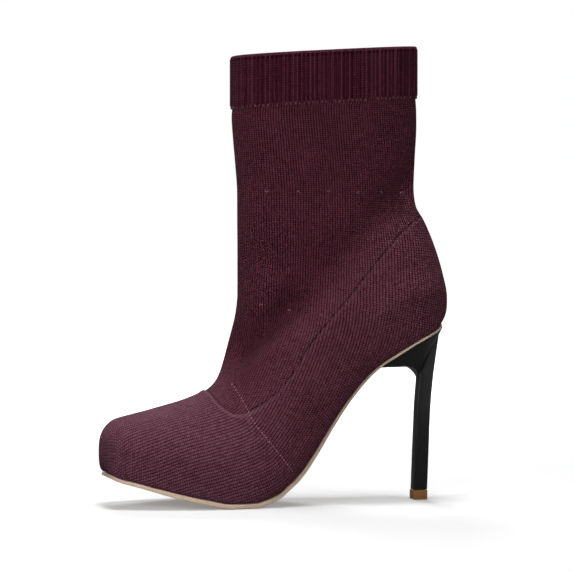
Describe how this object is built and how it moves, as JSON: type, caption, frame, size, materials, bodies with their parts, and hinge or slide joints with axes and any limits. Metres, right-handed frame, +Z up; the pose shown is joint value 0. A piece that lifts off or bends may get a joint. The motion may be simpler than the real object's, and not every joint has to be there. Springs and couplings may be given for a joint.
{
  "type": "sock boot",
  "caption": "Knitted ankle-high sock boot with a ribbed cuff, an almond-square toe, a thin outsole and a slim high heel.",
  "frame": {"origin": "middle of the heel lift's under face, on the floor", "axes": "+X towards the toe, +Y to the wearer's left, which is the outer side of this left shoe, +Z up"},
  "size_m": [0.2183, 0.082, 0.2817],
  "materials": {
    "knit": "matt ribbed and plain knit, dark wine red",
    "outsole": "satin tan edge",
    "insole": "matt beige",
    "heel": "satin black",
    "heel_lift": "matt brown"
  },
  "bodies": {
    "root": {"upper": "knit", "outsole": "outsole", "insole": "insole", "heel": "heel", "heel_lift": "heel_lift"}
  },
  "joints": []
}
